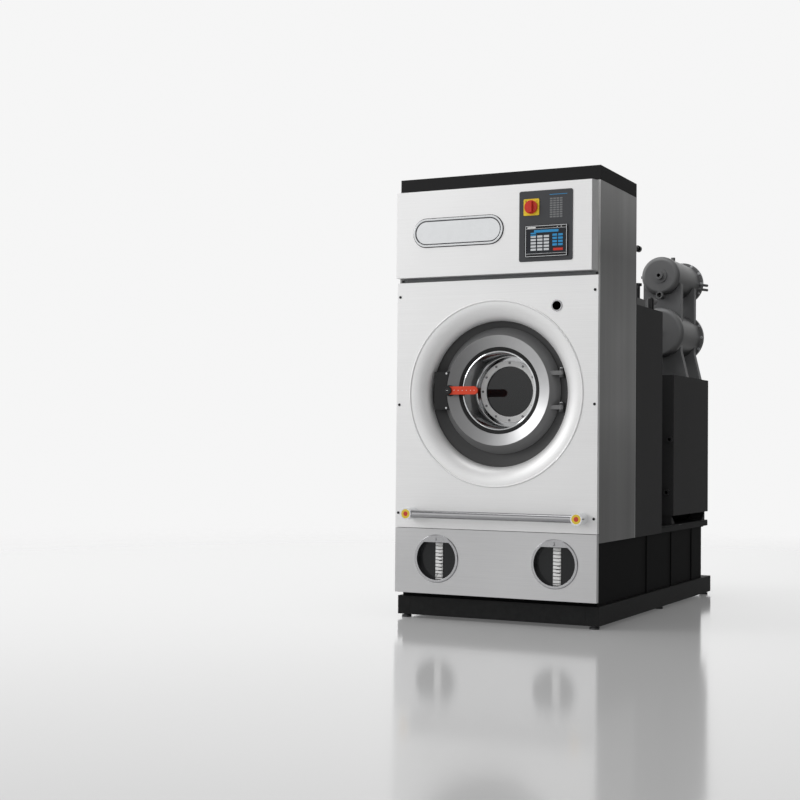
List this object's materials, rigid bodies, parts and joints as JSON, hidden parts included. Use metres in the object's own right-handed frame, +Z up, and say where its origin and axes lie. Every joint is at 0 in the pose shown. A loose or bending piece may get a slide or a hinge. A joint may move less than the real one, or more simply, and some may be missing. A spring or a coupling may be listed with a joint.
{
  "type": "dry cleaning machine",
  "caption": "Front-loading dry cleaning machine: round door with a deep bowl, drum, tub and drive in a steel cabinet, still and condenser on a rear control cabinet, solvent tanks below.",
  "frame": {"origin": "centre of the machine's box, at floor level under the feet", "axes": "+Z up, +Y towards the back, +X to the right seen from the front; the door faces -Y"},
  "size_m": [0.95, 1.93, 1.975],
  "materials": {
    "brushed_panel": "light stainless sheet, horizontal grain",
    "dark_panel": "dark brushed sheet, vertical grain",
    "charcoal_paint": "satin charcoal paint",
    "tank_paint": "satin near-black paint",
    "frame_paint": "satin grey paint",
    "vessel_paint": "satin grey paint",
    "stand_paint": "satin light grey paint",
    "chrome_trim": "polished",
    "cast_door": "satin cast ring",
    "stainless": "satin stainless",
    "white_enamel": "glossy white",
    "door_window": "clear, dark inside",
    "gauge_window": "clear over dark liquid",
    "scale_white": "white marks",
    "black_plastic": "black",
    "control_grey": "dark grey",
    "screen_black": "glossy display",
    "switch_yellow": "yellow",
    "switch_red": "red",
    "lever_red": "red enamel",
    "black_rubber": "black",
    "machine_steel": "machined steel",
    "cast_iron_dark": "dark casting",
    "motor_blue": "blue-grey paint",
    "coil_alu": "bare pipe"
  },
  "bodies": {
    "machine": {"plinth": "charcoal_paint", "levelling_feet": "machine_steel", "solvent_tanks": "tank_paint", "deck_plate": "charcoal_paint", "cabinet_frame": "frame_paint", "side_panels": "dark_panel", "cabinet_back_panel": "dark_panel", "lid": "charcoal_paint", "upper_panel": "brushed_panel", "main_panel": "brushed_panel", "lower_panel": "brushed_panel", "panel_screws": "black_plastic", "nameplate": "chrome_trim", "control_plate": "control_grey", "switch_plate": "switch_yellow", "touch_screen": "screen_black", "port_ring": "chrome_trim", "gauge_bezels": "chrome_trim", "gauge_windows": "gauge_window", "gauge_scales": "scale_white", "rail_posts": "chrome_trim", "grab_rail": "chrome_trim", "hinge_brackets": "chrome_trim", "hinge_pins": "machine_steel", "tub_shell": "stainless", "tub_front": "frame_paint", "bearing_housing": "cast_iron_dark", "drum_bearings": "machine_steel", "drive_belt": "black_rubber", "drive_motor": "motor_blue", "fan_housing": "stainless", "fan_motor": "motor_blue", "air_duct": "stainless", "air_coil": "coil_alu", "rear_cover": "charcoal_paint", "control_cabinet": "charcoal_paint", "vessel_stand": "stand_paint", "still_shell": "vessel_paint", "condenser_shell": "vessel_paint", "valve_manifold": "tank_paint", "solvent_pump": "motor_blue", "button_trap": "stainless"},
    "door": {"door_pan": "cast_door", "door_bowl": "chrome_trim", "window_flange": "white_enamel", "window_bolts": "machine_steel", "door_glass": "door_window", "door_seal": "black_rubber", "latch_housing": "black_plastic"},
    "latch": {"latch_lever": "lever_red", "latch_spindle": "black_plastic"},
    "drum": {"drum_shell": "stainless", "drum_end_plates": "stainless", "drum_lifters": "stainless", "drum_shaft": "machine_steel", "drum_pulley": "cast_iron_dark"},
    "motor_rotor": {"motor_pulley": "cast_iron_dark"},
    "fan": {"fan_impeller": "machine_steel"},
    "main_switch": {"main_switch_knob": "switch_red"},
    "cabinet_rear_door": {"cabinet_door": "charcoal_paint"}
  },
  "joints": [
    {"name": "door_hinge", "type": "hinge", "parent": "machine", "child": "door", "pos_m": [0.29, -0.826, 1.018], "axis": [0, 0, 1], "range_deg": [0, 110]},
    {"name": "latch_turn", "type": "hinge", "parent": "door", "child": "latch", "pos_m": [-0.228, -0.86, 1.018], "axis": [0, 1, 0], "range_deg": [0, 90]},
    {"name": "drum_spin", "type": "hinge", "parent": "machine", "child": "drum", "pos_m": [0, -0.42, 1.018], "axis": [0, 1, 0], "continuous": true},
    {"name": "motor_spin", "type": "hinge", "parent": "machine", "child": "motor_rotor", "pos_m": [-0.21, -0.17, 0.528], "axis": [0, 1, 0], "continuous": true},
    {"name": "fan_spin", "type": "hinge", "parent": "machine", "child": "fan", "pos_m": [0.25, -0.64, 1.651], "axis": [0, 1, 0], "continuous": true},
    {"name": "main_switch_turn", "type": "hinge", "parent": "machine", "child": "main_switch", "pos_m": [0.1775, -0.907, 1.805], "axis": [0, 1, 0], "range_deg": [0, 90]},
    {"name": "cabinet_door_hinge", "type": "hinge", "parent": "machine", "child": "cabinet_rear_door", "pos_m": [0.469, 0.899, 0.787], "axis": [0, 0, -1], "range_deg": [0, 110]}
  ],
  "couplings": [
    {"joint": "motor_spin", "follows": "drum_spin", "ratio": 4}
  ]
}
